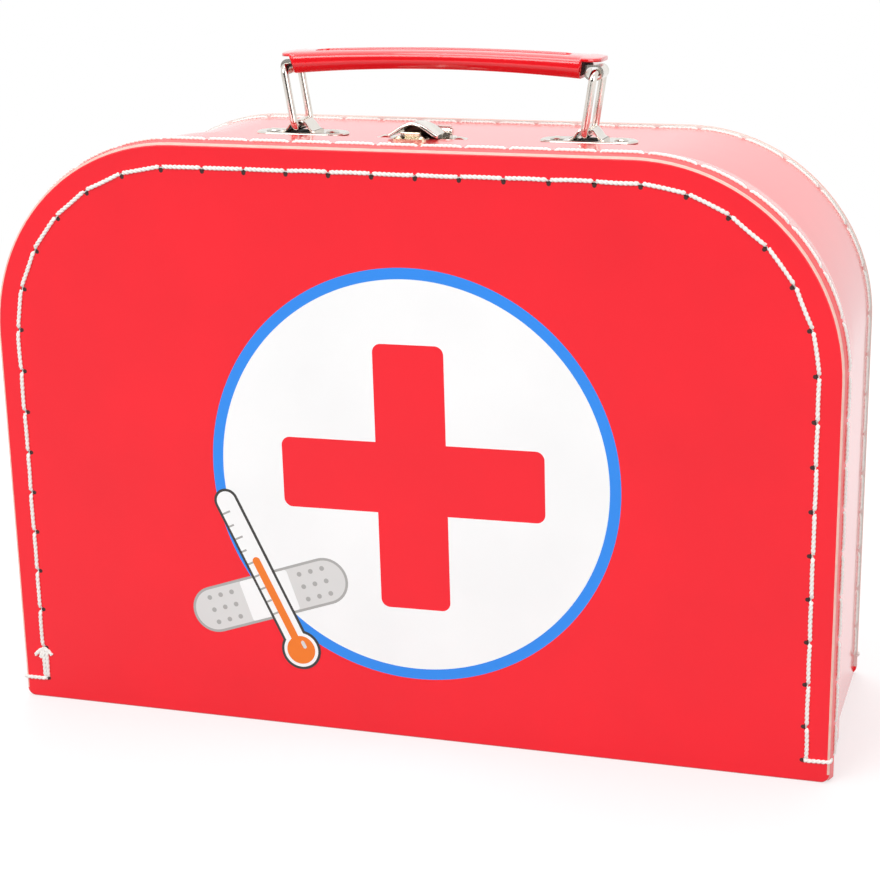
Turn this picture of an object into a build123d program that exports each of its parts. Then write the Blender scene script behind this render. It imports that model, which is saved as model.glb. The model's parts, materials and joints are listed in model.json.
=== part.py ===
from build123d import *
import math
import os

os.makedirs("parts", exist_ok=True)

# A child's stitched board case with a wire-and-plastic carrying handle and a snap clasp.
# Millimetres. X runs across the printed front, Y from front to back, Z up from the floor.

# Case
case_width = 249.0
case_height = 173.8
case_depth = 84.0
corner_radius = 58.0
panel_thickness = 1.6
strip_thickness = 1.2
foot_radius = 2.5
edge_band = 0.9            # bare cut edge of the front board, outside its printed face
edge_drop = 0.4            # how far that band slopes back
panel_lip = 0.2            # lid rim's straight run inside the printed outline
back_lip = 0.9
rim_depth = 30.0           # front panel's inner face to the lid rim's free edge
rim_flare = 1.6            # ridge of the rim at the seam, outside the printed outline
rim_start = 0.6            # rim's front edge, outside the printed outline
rim_ridge_depth = 3.0      # front panel's inner face to the ridge
rim_settle_depth = 18.0    # and to where the rim runs straight again
slide_gap = 0.4            # lid rim round the body wall
hardware_gap = 0.6         # lid rim's edge to the clasp's plate
crease_gap = 0.3           # between the boards that meet at a fold
board_foot = 0.3           # lid rim's feet above the floor
edge_round = 0.75

# Paper and cloth inside
paper_thickness = 0.25
paper_margin = 3.0
tape_width = 12.0
tape_thickness = 0.3

# Seams
seam_inset = 6.5
seam_foot = 6.5
foot_stitch = 10.2         # the last stitch at each foot is shorter
stitch_pitch = 12.6
thread_width = 1.0
thread_height = 0.6
stitch_gap = 1.3
hole_size = 1.2
lid_seam_setback = 4.1     # front panel's outer face to the near edge of the wall thread
back_seam_setback = 2.0

# Handle
bracket_spacing = 88.4
bracket_setback = 7.6      # brackets' centre line behind the clasp's
bracket_length = 29.0
bracket_width = 11.0
plate_thickness = 0.8
bridge_width = 8.0
bridge_foot = 5.0
bridge_rise = 1.8          # plate top to the centre of the wire
bridge_wall = 0.8
wire_radius = 1.15
wire_bend = 2.0
running_gap = 0.06
link_splay = 2.8           # how far each link's top leans out past its foot
link_rise = 17.5
link_arm_spacing = 13.0
grip_overhang = 3.2        # grip skin past the wire's centre
grip_width = 16.0
grip_height = 5.9
grip_crown = 1.4
grip_skin = 1.2
grip_drop = 1.6            # grip's underside below the wire's centre at its ends
grip_edge = 1.3
skirt_end = 1.9            # end of the grip's side walls short of the wire's centre
skirt_slant = 2.2
recess_length = 78.0
recess_width = 9.5
recess_depth = 0.6
core_width = 7.0
core_thickness = 1.0
core_gap = 0.05
eye_play = 1.4             # the right eye is this much longer than a round one
eye_drop = 0.4             # and this much higher and lower
hollow_depth = 12.0        # open inside of the grip, past its side walls' ends

# Clasp
clasp_offset = -4.0
clasp_length = 27.5
clasp_tab_width = 9.0
clasp_body_length = 18.0
clasp_front = 6.4
clasp_back = 7.6
lever_half_width = 7.6
lever_height = 4.0
lever_thickness = 0.8
lever_overhang = 2.5       # lever's free edge past the lid rim's edge
lever_lift = 0.8           # lever's feet above the lid rim
lever_rear = 2.1           # pin's centre to the lever's rear wall
pin_radius = 0.8
pin_setback = 4.0
pin_head = 0.5
barrel_radius = 1.6
barrel_length = 7.6
ear_length = 3.6
catch_length = 10.0
catch_width = 5.4
catch_thickness = 0.5
catch_setback = 0.8
nib_length = 4.4
nib_width = 1.6
nib_height = 1.6

# Rivets
rivet_shank = 1.0
rivet_head = 2.1
rivet_dome = 0.7
rivet_play = 0.05
washer_radius = 3.0
washer_thickness = 0.5
clench_thickness = 0.5
clench_radius = 1.8
bracket_rivet_offset = 9.5
clasp_rivet_offset = 11.2
catch_rivet_offset = 3.4
catch_rivet_head = 1.1

# Places worked out from the sizes above
front = -case_depth / 2
back = case_depth / 2
lid_inner = front + panel_thickness
rim_edge = lid_inner + rim_depth
back_inner = back - panel_thickness
clasp_y = rim_edge + hardware_gap + clasp_front
pin_y = clasp_y + pin_setback
bracket_y = clasp_y + bracket_setback
rim_top = case_height - panel_lip
rim_under = rim_top - strip_thickness
wall_inset = panel_lip + strip_thickness + slide_gap
wall_top = case_height - wall_inset
wall_under = wall_top - strip_thickness
wall_front = lid_inner + tape_thickness + 0.2
base_top = panel_thickness
plate_top = wall_top + plate_thickness
wire_z = plate_top + bridge_rise
bracket_x = bracket_spacing / 2
grip_pivot_x = bracket_x + link_splay
grip_pivot_z = wire_z + link_rise
link_length = math.hypot(link_splay, link_rise)
lean = math.degrees(math.atan2(link_splay, link_rise))
bore_radius = wire_radius + running_gap
pin_z = rim_top + lever_lift
lever_front = rim_edge - lever_overhang
skirt_x = grip_pivot_x - skirt_end
lining_under = wall_under - paper_thickness


def slab(sketch, y_front, y_back):
    """Extrude a sketch drawn in X and Z between two depths."""
    plane = Plane.XZ.offset(-y_back)
    return extrude(plane * sketch, amount=y_back - y_front)


def tapered(sections):
    """Straight-sided solids through outlines that stand at given depths."""
    placed = [Plane.XZ.offset(-y) * outline for y, outline in sections]
    solid = loft(placed[:2], ruled=True)
    for near, far in zip(placed[1:], placed[2:]):
        solid += loft([near, far], ruled=True)
    return solid


def case_outline(inset, foot=0.0, foot_round=0.0):
    """The case's front shape: round top corners over straight sides."""
    width = case_width - 2 * inset
    height = case_height - inset - foot
    shape = Pos(0, foot + height / 2) * Rectangle(width, height)
    shape = fillet(shape.vertices().group_by(Axis.Y)[-1], corner_radius - inset)
    if foot_round > 0:
        feet = shape.vertices().group_by(Axis.Y)[0]
        shape = fillet(feet, foot_round)
    return shape


def wall_outline(inset, thickness, foot):
    """A strip bent over the sides and top, open at the foot."""
    return case_outline(inset, foot) - case_outline(inset + thickness, foot - 2 * thickness)


def seam_station(distance):
    """A place and a heading on the seam line, from the left foot over the top to the right foot."""
    half = case_width / 2 - seam_inset
    radius = corner_radius - seam_inset
    crown = case_height - seam_inset
    side = crown - radius - seam_foot
    arc = radius * math.pi / 2
    total = 2 * side + 2 * arc + 2 * (half - radius)
    if distance > total / 2:
        x, z, heading = seam_station(total - distance)
        return -x, z, -heading
    if distance <= side:
        return -half, seam_foot + distance, 90.0
    if distance <= side + arc:
        turn = (distance - side) / radius
        x = -(half - radius) - radius * math.cos(turn)
        z = crown - radius + radius * math.sin(turn)
        return x, z, 90.0 - math.degrees(turn)
    return -(half - radius) + distance - side - arc, crown, 0.0


def seam_length():
    """Length of the seam line between its two feet."""
    radius = corner_radius - seam_inset
    side = case_height - corner_radius - seam_foot
    return 2 * side + math.pi * radius + case_width - 2 * corner_radius


even_length = seam_length() - 2 * foot_stitch
even_count = round(even_length / stitch_pitch)
hole_distances = [0.0]
hole_distances += [foot_stitch + even_length * i / even_count for i in range(even_count + 1)]
hole_distances += [seam_length()]
stitch_stations = [seam_station(distance) for distance in hole_distances]


def needle_holes(y_front, y_back):
    """Diamond awl holes through a panel, one at each end of every stitch."""
    return [
        slab(Pos(x, z) * Rot(0, 0, heading + 45) * Rectangle(hole_size, hole_size), y_front, y_back)
        for x, z, heading in stitch_stations
    ]


def stitch_gaps(y_front, y_back):
    """Short cuts across the seam where the thread dives into the board."""
    reach = 4 * seam_inset
    return [
        slab(Pos(x, z) * Rot(0, 0, heading) * Rectangle(stitch_gap, reach), y_front, y_back)
        for x, z, heading in stitch_stations
    ]


def face_thread(panel_face, outward):
    """Stitches lying on a panel, with a turn of thread round the edge at each foot."""
    y_near = min(panel_face, panel_face + outward * thread_height)
    y_far = max(panel_face, panel_face + outward * thread_height)
    inner = seam_inset + thread_width / 2
    outer = seam_inset - thread_width / 2
    band = slab(wall_outline(outer, inner - outer, seam_foot), y_near, y_far)
    stitches = band - stitch_gaps(y_near - 1, y_far + 1)
    return list(stitches.solids())


def wall_thread(strip_inset, panel_face, outward, setback):
    """Stitches lying on a wall strip beside the seam."""
    near = panel_face - outward * setback
    far = near - outward * thread_width
    y_near = min(near, far)
    y_far = max(near, far)
    band = slab(wall_outline(strip_inset - thread_height, thread_height, seam_foot), y_near, y_far)
    stitches = band - stitch_gaps(y_near - 1, y_far + 1)
    return list(stitches.solids())


def seam_turns(panel_inset, panel_face, outward):
    """The thread's turn round the case's edge at each foot, from the last hole to the wall."""
    half = case_width / 2
    seam_x = half - seam_inset + stitch_gap
    edge_x = half - panel_inset
    z = seam_foot
    turns = []
    for side in (-1, 1):
        face_part = Box(edge_x + thread_height - seam_x, thread_height, thread_width)
        face_x = (edge_x + thread_height + seam_x) / 2
        face_part = Pos(side * face_x, panel_face + outward * thread_height / 2, z) * face_part
        run = panel_thickness + thread_height
        edge_part = Box(thread_height, run, thread_width)
        edge_y = panel_face + outward * thread_height - outward * run / 2
        edge_part = Pos(side * (edge_x + thread_height / 2), edge_y, z) * edge_part
        turns.append((face_part + edge_part).solids()[0])
    return turns


def rivet(top, bottom, head_radius, tail_radius, tail_thickness):
    """A domed rivet: head on top, shank down, flat clenched tail."""
    shank = Pos(0, 0, (top + bottom) / 2) * Cylinder(rivet_shank, top - bottom)
    dome_radius = (head_radius**2 + rivet_dome**2) / (2 * rivet_dome)
    ball = Pos(0, 0, top + rivet_dome - dome_radius) * Sphere(dome_radius)
    keep = Pos(0, 0, top + rivet_dome / 2) * Cylinder(head_radius, rivet_dome)
    body = shank + (ball & keep)
    if tail_thickness > 0:
        body += Pos(0, 0, bottom - tail_thickness / 2) * Cylinder(tail_radius, tail_thickness)
    return body.solids()[0]


def upright_holes(places, z_low, z_high):
    """Round clearance holes for rivet shanks through flat boards."""
    height = z_high - z_low
    return [
        Pos(x, y, (z_low + z_high) / 2) * Cylinder(rivet_shank + rivet_play, height) for x, y in places
    ]


bracket_rivet_places = [
    (side * bracket_x + end * bracket_rivet_offset, bracket_y)
    for side in (-1, 1)
    for end in (-1, 1)
]
clasp_rivet_places = [(clasp_offset + end * clasp_rivet_offset, clasp_y) for end in (-1, 1)]
catch_front = rim_edge - catch_setback - catch_width
catch_rivet_places = [
    (clasp_offset + end * catch_rivet_offset, catch_front + catch_width / 3) for end in (-1, 1)
]
body_rivet_places = bracket_rivet_places + clasp_rivet_places


# Lid

def make_lid_panel():
    panel = slab(case_outline(-edge_band, 0, foot_radius), front, lid_inner)
    foot_edges = panel.edges().filter_by(Axis.X).group_by(Axis.Z)[0]
    panel = fillet(foot_edges, edge_round)
    # the bare edge slopes back from the printed face
    spread = edge_band * panel_thickness / edge_drop
    printed = case_outline(0, -foot_radius)
    slope = tapered([(front, printed), (lid_inner, case_outline(-spread, -foot_radius))])
    return (panel & slope) - needle_holes(front - 1, lid_inner + 1)


def make_lid_rim():
    stages = [
        (lid_inner, -rim_start),
        (lid_inner + rim_ridge_depth, -rim_flare),
        (lid_inner + rim_settle_depth, panel_lip),
        (rim_edge, panel_lip),
    ]
    outside = tapered([(y, case_outline(inset, board_foot)) for y, inset in stages])
    under = board_foot - 2 * strip_thickness
    inside = tapered([(y, case_outline(inset + strip_thickness, under)) for y, inset in stages])
    return outside - inside - upright_holes(catch_rivet_places, rim_under - 1, rim_top + 1)


def make_lid_lining():
    inset = wall_inset + strip_thickness + paper_margin
    foot = base_top + tape_width + 2 * tape_thickness
    return slab(case_outline(inset, foot), lid_inner, lid_inner + paper_thickness)


def make_lid_hinge_tape():
    width = case_width - 2 * (wall_inset + strip_thickness + paper_margin)
    foot = base_top + 2 * tape_thickness
    strip = Pos(0, foot + tape_width / 2) * Rectangle(width, tape_width - tape_thickness)
    return slab(strip, lid_inner, lid_inner + tape_thickness)


def make_clasp_catch():
    plate = Box(catch_length, catch_width, catch_thickness)
    plate = fillet(plate.edges().filter_by(Axis.Z), catch_width / 4)
    centre_y = catch_front + catch_width / 2
    catch = Pos(clasp_offset, centre_y, rim_top + catch_thickness / 2) * plate
    catch -= upright_holes(catch_rivet_places, rim_top - 1, rim_top + catch_thickness + 1)
    nib = Box(nib_length, nib_width, nib_height)
    nib = fillet(nib.edges().filter_by(Axis.X).group_by(Axis.Z)[-1], nib_width / 3)
    nib_y = rim_edge - catch_setback - nib_width / 2
    return catch + Pos(clasp_offset, nib_y, rim_top + catch_thickness + nib_height / 2) * nib


# Body

def make_back_panel():
    panel = slab(case_outline(back_lip, 0, foot_radius), back_inner, back)
    return panel - needle_holes(back_inner - 1, back + 1)


def make_base_board():
    front_edge = lid_inner + crease_gap
    depth = back_inner - front_edge
    width = case_width - 2 * wall_inset
    board = Box(width, depth, panel_thickness)
    board = Pos(0, front_edge + depth / 2, panel_thickness / 2) * board
    crease = board.edges().filter_by(Axis.X).group_by(Axis.Y)[0]
    return fillet(crease, edge_round)


def make_body_wall():
    wall = slab(wall_outline(wall_inset, strip_thickness, base_top), wall_front, back_inner)
    return wall - upright_holes(body_rivet_places, wall_under - 1, wall_top + 1)


def make_back_lining():
    inset = wall_inset + strip_thickness + paper_margin
    foot = base_top + paper_margin
    return slab(case_outline(inset, foot), back_inner - paper_thickness, back_inner)


def make_wall_lining():
    inset = wall_inset + strip_thickness
    strip = wall_outline(inset, paper_thickness, base_top + paper_margin)
    lining = slab(strip, wall_front + paper_margin, back_inner - paper_margin)
    return lining - upright_holes(body_rivet_places, lining_under - 1, wall_under + 1)


def make_base_lining():
    start = wall_front + tape_width + paper_margin
    end = back_inner - paper_margin
    width = case_width - 2 * (wall_inset + strip_thickness + paper_margin)
    sheet = Box(width, end - start, paper_thickness)
    return Pos(0, (start + end) / 2, base_top + paper_thickness / 2) * sheet


def make_base_hinge_tape():
    width = case_width - 2 * (wall_inset + strip_thickness + paper_margin)
    start = wall_front + tape_thickness
    tape = Box(width, tape_width, tape_thickness)
    return Pos(0, start + tape_width / 2, base_top + tape_thickness / 2) * tape


def make_bracket(side):
    """An oval plate with a pinched bridge that carries the link's lower bar."""
    plate = extrude(SlotOverall(bracket_length, bracket_width), plate_thickness)
    plate = fillet(plate.edges().group_by(Axis.Z)[-1], plate_thickness / 3)
    plate = Pos(side * bracket_x, bracket_y, wall_top) * plate
    plate -= upright_holes(bracket_rivet_places, wall_top - 1, plate_top + 1)
    outer = bridge_section(bridge_foot, bore_radius + bridge_wall)
    inner = bridge_section(bridge_foot - 2 * bridge_wall, bore_radius)
    bridge = slab(outer - inner, -bridge_width / 2, bridge_width / 2)
    return plate + Pos(side * bracket_x, bracket_y, plate_top) * bridge


def bridge_section(foot, radius):
    """A round crown on straight legs that spread to the plate."""
    crown = CenterArc((0, bridge_rise), radius, 0, 360)
    base = Line((-foot, 0), (foot, 0))
    return make_hull([crown, base])


def make_bracket_rivets():
    base = lining_under - washer_thickness
    return [
        Pos(x, y, 0) * rivet(plate_top, base, rivet_head, clench_radius, clench_thickness)
        for x, y in bracket_rivet_places
    ]


def make_clasp_rivets():
    base = lining_under - washer_thickness
    return [
        Pos(x, y, 0) * rivet(plate_top, base, rivet_head, clench_radius, clench_thickness)
        for x, y in clasp_rivet_places
    ]


def make_catch_rivets():
    top = rim_top + catch_thickness
    return [
        Pos(x, y, 0) * rivet(top, rim_under, catch_rivet_head, 0, 0) for x, y in catch_rivet_places
    ]


def make_rivet_washers():
    ring = Cylinder(washer_radius, washer_thickness)
    ring -= Cylinder(rivet_shank + rivet_play, 2 * washer_thickness)
    return [
        Pos(x, y, lining_under - washer_thickness / 2) * ring for x, y in body_rivet_places
    ]


# Clasp

def arch_section(half_width, height):
    """A half-moon: a flat foot line under one arc."""
    arc = ThreePointArc((-half_width, 0), (0, height), (half_width, 0))
    return make_face([arc, Line((half_width, 0), (-half_width, 0))])


def make_clasp_base():
    depth = clasp_front + clasp_back
    middle = Pos(0, (clasp_back - clasp_front) / 2) * Rectangle(clasp_body_length, depth)
    middle = fillet(middle.vertices(), depth / 5)
    outline = middle + SlotOverall(clasp_length, clasp_tab_width)
    plate = Pos(clasp_offset, clasp_y, wall_top) * extrude(outline, plate_thickness)
    plate -= upright_holes(clasp_rivet_places, wall_top - 1, plate_top + 1)
    for side in (-1, 1):
        x = clasp_offset + side * (lever_half_width - ear_length / 2)
        ear = Pos(x, pin_y, pin_z) * Rot(0, 90, 0) * Cylinder(barrel_radius, ear_length)
        foot_height = pin_z - plate_top
        foot = Box(ear_length, 1.8 * barrel_radius, foot_height)
        ear += Pos(x, pin_y, plate_top + foot_height / 2) * foot
        plate += ear
    bore = Cylinder(pin_radius + running_gap, 3 * lever_half_width)
    return plate - Pos(clasp_offset, pin_y, pin_z) * Rot(0, 90, 0) * bore


def make_clasp_pin():
    length = 2 * lever_half_width + 2 * pin_head
    shaft = Rot(0, 90, 0) * Cylinder(pin_radius, length)
    for side in (-1, 1):
        head_x = side * (lever_half_width + pin_head / 2)
        shaft += Pos(head_x, 0, 0) * Rot(0, 90, 0) * Cylinder(1.4 * pin_radius, pin_head)
    return Pos(clasp_offset, pin_y, pin_z) * shaft


def make_clasp_lever():
    rear = pin_y - lever_rear
    outer = arch_section(lever_half_width, lever_height)
    inner = arch_section(lever_half_width - 1.2 * lever_thickness, lever_height - lever_thickness)
    shell = slab(outer - inner, lever_front, rear)
    shell += slab(outer, rear - lever_thickness, rear)
    shell = Pos(clasp_offset, 0, pin_z) * shell
    barrel = Rot(0, 90, 0) * Cylinder(barrel_radius, barrel_length)
    neck = Box(barrel_length, lever_rear, barrel_radius)
    neck = Pos(0, -lever_rear / 2, barrel_radius / 2) * neck
    tail = Pos(clasp_offset, pin_y, pin_z) * (barrel + neck)
    bore = Cylinder(pin_radius + running_gap, 2 * barrel_length)
    return shell + tail - Pos(clasp_offset, pin_y, pin_z) * Rot(0, 90, 0) * bore


# Handle

def make_link(side):
    """A closed wire loop: lower bar in the bracket, upper bar in the grip's eye."""
    half = link_arm_spacing / 2
    corners = [(-half, 0), (half, 0), (half, link_length), (-half, link_length)]
    loop = Polyline(corners, close=True)
    face = fillet(make_face(loop).vertices(), wire_bend)
    path = Plane.YZ * face
    wire = path.faces()[0].outer_wire()
    start = wire @ 0
    section = Plane(origin=start, z_dir=wire % 0) * Circle(wire_radius)
    ring = sweep(section, wire)
    return Pos(side * bracket_x, bracket_y, wire_z) * Rot(0, side * lean, 0) * ring


def grip_profile(rise, drop, half):
    """The grip seen from the front between a lower and an upper arched line."""
    low = ThreePointArc((-half, drop), (0, drop + grip_crown), (half, drop))
    high = ThreePointArc((half, rise), (0, rise + grip_crown), (-half, rise))
    return make_face([low, Line((half, drop), (half, rise)), high, Line((-half, rise), (-half, drop))])


def make_grip_shell():
    half = grip_pivot_x + grip_overhang
    low = -grip_drop
    top = grip_height - grip_drop
    shell = slab(grip_profile(top, low, half), -grip_width / 2, grip_width / 2)
    ends = shell.edges().filter_by(Axis.Z)
    shell = fillet(ends, grip_width / 4)
    rims = shell.faces().sort_by(Axis.Z)[-1].edges()
    shell = fillet(rims, grip_edge / 2)
    long_edges = shell.faces().sort_by(Axis.Z)[0].edges()
    shell = fillet(long_edges, grip_edge)
    # recessed panel along the top
    pocket = slab(grip_profile(top + grip_crown, top - recess_depth, half), -grip_width, grip_width)
    pocket &= extrude(SlotOverall(recess_length, recess_width), 2 * grip_height)
    shell -= pocket
    # open ends under the top skin, where the wire loop stands
    under_skin = top - grip_skin
    for side, play in ((-1, 0), (1, eye_play)):
        end_x = skirt_x - play
        outline = Polyline(
            (side * (half + 1), under_skin),
            (side * end_x, under_skin),
            (side * end_x, 0),
            (side * (end_x - skirt_slant), low),
            (side * (end_x - skirt_slant), low - 1),
            (side * (half + 1), low - 1),
            close=True,
        )
        shell -= slab(make_face(outline), -grip_width, grip_width)
        hollow = Box(hollow_depth, core_width + 2, under_skin - low)
        hollow_x = side * (half - grip_overhang - hollow_depth / 2)
        shell -= Pos(hollow_x, 0, (under_skin + low) / 2 - core_gap) * hollow
    # slot for the steel strip
    slot_height = core_thickness + 2 * core_gap
    slot = Box(2 * half, core_width + 2 * core_gap, slot_height)
    shell -= Pos(0, 0, bore_radius + core_thickness / 2) * slot
    return Pos(0, bracket_y, grip_pivot_z) * shell


def make_grip_core():
    outer = bore_radius + core_thickness
    strip = Rectangle(2 * grip_pivot_x, core_thickness)
    profile = Pos(0, bore_radius + core_thickness / 2) * strip
    profile += Pos(-grip_pivot_x, 0) * Circle(outer)
    profile += Pos(grip_pivot_x - eye_play / 2, 0) * SlotCenterToCenter(eye_play, 2 * outer)
    profile -= Pos(-grip_pivot_x, 0) * Circle(bore_radius)
    eye_height = 2 * (bore_radius + eye_drop)
    profile -= Pos(grip_pivot_x - eye_play / 2, 0) * SlotCenterToCenter(eye_play, eye_height)
    return Pos(0, bracket_y, grip_pivot_z) * slab(profile, -core_width / 2, core_width / 2)


def write(name, shape):
    """Write one node: a solid, or a group of separate solids."""
    solids = shape if isinstance(shape, list) else list(shape.solids())
    label = solids[0] if len(solids) == 1 else Compound(children=solids)
    export_step(label, f"parts/{name}.step")


nodes = {
    "lid_panel": make_lid_panel(),
    "lid_rim": make_lid_rim(),
    "lid_lining": make_lid_lining(),
    "lid_hinge_tape": make_lid_hinge_tape(),
    "lid_face_thread": face_thread(front, -1) + seam_turns(-edge_band, front, -1),
    "lid_wall_thread": wall_thread(-rim_flare, front, -1, lid_seam_setback),
    "clasp_catch": make_clasp_catch(),
    "catch_rivets": make_catch_rivets(),
    "back_panel": make_back_panel(),
    "base_board": make_base_board(),
    "body_wall": make_body_wall(),
    "back_lining": make_back_lining(),
    "wall_lining": make_wall_lining(),
    "base_lining": make_base_lining(),
    "base_hinge_tape": make_base_hinge_tape(),
    "back_face_thread": face_thread(back, 1) + seam_turns(back_lip, back, 1),
    "back_wall_thread": wall_thread(wall_inset, back, 1, back_seam_setback),
    "left_bracket": make_bracket(-1),
    "right_bracket": make_bracket(1),
    "bracket_rivets": make_bracket_rivets(),
    "rivet_washers": make_rivet_washers(),
    "clasp_base": make_clasp_base(),
    "clasp_rivets": make_clasp_rivets(),
    "clasp_pin": make_clasp_pin(),
    "clasp_lever": make_clasp_lever(),
    "left_link": make_link(-1),
    "right_link": make_link(1),
    "grip_shell": make_grip_shell(),
    "grip_core": make_grip_core(),
}

for node_name, node_shape in nodes.items():
    write(node_name, node_shape)
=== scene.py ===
import json
import math
import random

import bmesh
import bpy
from mathutils import Matrix, Vector

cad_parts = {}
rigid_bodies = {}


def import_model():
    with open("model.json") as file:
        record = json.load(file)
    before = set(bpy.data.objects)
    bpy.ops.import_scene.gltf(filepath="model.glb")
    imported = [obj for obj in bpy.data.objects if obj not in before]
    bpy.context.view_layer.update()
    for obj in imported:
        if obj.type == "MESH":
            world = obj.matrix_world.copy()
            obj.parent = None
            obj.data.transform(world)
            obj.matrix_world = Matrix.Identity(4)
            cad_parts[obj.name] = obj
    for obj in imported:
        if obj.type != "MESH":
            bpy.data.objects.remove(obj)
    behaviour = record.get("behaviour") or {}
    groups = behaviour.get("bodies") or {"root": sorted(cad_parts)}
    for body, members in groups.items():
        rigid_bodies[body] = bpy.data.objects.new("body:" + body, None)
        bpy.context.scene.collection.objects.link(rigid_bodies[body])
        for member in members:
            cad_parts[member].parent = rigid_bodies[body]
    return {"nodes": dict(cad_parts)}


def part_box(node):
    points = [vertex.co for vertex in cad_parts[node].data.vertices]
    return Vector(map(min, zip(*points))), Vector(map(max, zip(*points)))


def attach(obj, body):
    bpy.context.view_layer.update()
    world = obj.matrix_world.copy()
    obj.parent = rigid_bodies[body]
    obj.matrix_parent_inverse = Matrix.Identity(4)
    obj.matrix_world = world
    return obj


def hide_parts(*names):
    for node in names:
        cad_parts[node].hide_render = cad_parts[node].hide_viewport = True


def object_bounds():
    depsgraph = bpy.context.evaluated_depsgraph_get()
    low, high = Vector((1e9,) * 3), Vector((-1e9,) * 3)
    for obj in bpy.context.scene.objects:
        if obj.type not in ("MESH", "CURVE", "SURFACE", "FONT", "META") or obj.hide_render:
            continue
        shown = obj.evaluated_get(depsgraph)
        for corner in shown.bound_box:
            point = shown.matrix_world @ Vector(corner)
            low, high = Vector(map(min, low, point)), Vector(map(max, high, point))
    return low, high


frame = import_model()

cadLow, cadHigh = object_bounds()
print("frame loaded:", len(frame["nodes"]), "nodes")

mm = 0.001
nodes = frame["nodes"]
panelLow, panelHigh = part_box("lid_panel")
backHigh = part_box("back_panel")[1]
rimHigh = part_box("lid_rim")[1]
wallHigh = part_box("body_wall")[1]
sceneLinks = bpy.context.scene.collection.objects
upright = Matrix.Rotation(math.pi / 2, 4, "X")    # turns what lies flat to face the front


# Camera

cameraLook = {
    "place": (0.18368, -0.56995, 0.25217),
    "turn": (73.381, 0.473, 15.787),    # degrees
    "lens": 83.273,
    "shift": (-0.0805, 0.0237),
}


def placeCamera(look):
    data = bpy.data.cameras.new("camera")
    data.lens = look["lens"]
    data.shift_x, data.shift_y = look["shift"]
    data.clip_start = 0.01
    camera = bpy.data.objects.new("camera", data)
    camera.location = look["place"]
    camera.rotation_euler = [math.radians(angle) for angle in look["turn"]]
    sceneLinks.link(camera)
    bpy.context.scene.camera = camera


placeCamera(cameraLook)
print("camera placed")


# Material helpers

def startMaterial(name, roughness, metallic=0.0):
    material = bpy.data.materials.new(name)
    material.use_nodes = True
    shader = material.node_tree.nodes["Principled BSDF"]
    shader.inputs["Roughness"].default_value = roughness
    shader.inputs["Metallic"].default_value = metallic
    return material, material.node_tree, shader


def feed(tree, socket, value):
    if isinstance(value, bpy.types.NodeSocket):
        tree.links.new(value, socket)
    elif hasattr(value, "__len__") and len(socket.default_value) == 4:
        socket.default_value = (*value, 1)
    else:
        socket.default_value = value


def calculate(tree, operation, first, second=0.0, third=None):
    node = tree.nodes.new("ShaderNodeMath")
    node.operation = operation
    feed(tree, node.inputs[0], first)
    feed(tree, node.inputs[1], second)
    if third is not None:
        feed(tree, node.inputs[2], third)
    return node.outputs[0]


def vectorMath(tree, operation, *values):
    node = tree.nodes.new("ShaderNodeVectorMath")
    node.operation = operation
    for socket, value in zip(node.inputs, values):
        feed(tree, socket, value)
    return node.outputs


def mixColour(tree, share, first, second):
    node = tree.nodes.new("ShaderNodeMix")
    node.data_type = "RGBA"
    feed(tree, node.inputs[0], share)
    feed(tree, node.inputs[6], first)
    feed(tree, node.inputs[7], second)
    return node.outputs[2]


def rescale(tree, value, fromLow, fromHigh, toLow, toHigh, smooth=False):
    node = tree.nodes.new("ShaderNodeMapRange")
    node.interpolation_type = "SMOOTHSTEP" if smooth else "LINEAR"
    for place, amount in enumerate((value, fromLow, fromHigh, toLow, toHigh)):
        feed(tree, node.inputs[place], amount)
    return node.outputs[0]


def objectPlace(tree):
    return tree.nodes.new("ShaderNodeTexCoord").outputs["Object"]


def parts(tree, vector):
    node = tree.nodes.new("ShaderNodeSeparateXYZ")
    feed(tree, node.inputs[0], vector)
    return node.outputs


def normalParts(tree):
    return parts(tree, tree.nodes.new("ShaderNodeTexCoord").outputs["Normal"])


def multiply(tree, first, second):
    return calculate(tree, "MULTIPLY", first, second)


def shadedBy(colour, share):
    return [channel * share for channel in colour]


def flatMaterial(name, colour, roughness):
    material, tree, shader = startMaterial(name, roughness)
    feed(tree, shader.inputs["Base Color"], colour)
    return material


def stretched(tree, scale, turn=(0, 0, 0)):
    node = tree.nodes.new("ShaderNodeMapping")
    feed(tree, node.inputs["Vector"], objectPlace(tree))
    node.inputs["Scale"].default_value = scale
    node.inputs["Rotation"].default_value = turn
    return node.outputs[0]


def noise(tree, scale, detail=2.0, vector=None):
    node = tree.nodes.new("ShaderNodeTexNoise")
    feed(tree, node.inputs["Vector"], vector or objectPlace(tree))
    node.inputs["Scale"].default_value = scale
    node.inputs["Detail"].default_value = detail
    return node.outputs[0]


def addBump(tree, shader, height, depth, strength=1.0):
    node = tree.nodes.new("ShaderNodeBump")
    node.inputs["Strength"].default_value = strength
    node.inputs["Distance"].default_value = depth
    feed(tree, node.inputs["Height"], height)
    before = shader.inputs["Normal"]
    if before.links:
        feed(tree, node.inputs["Normal"], before.links[0].from_socket)
    tree.links.new(node.outputs[0], before)


def varied(tree, colour, amount, scale, detail=3.0):
    darker = shadedBy(colour, 1 - amount)
    lighter = [min(1, channel) for channel in shadedBy(colour, 1 + amount)]
    return mixColour(tree, rescale(tree, noise(tree, scale, detail), 0.3, 0.7, 0, 1), darker, lighter)


# Covered board: red printed paper with a satin film, raw cut edges, white liner inside

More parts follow.
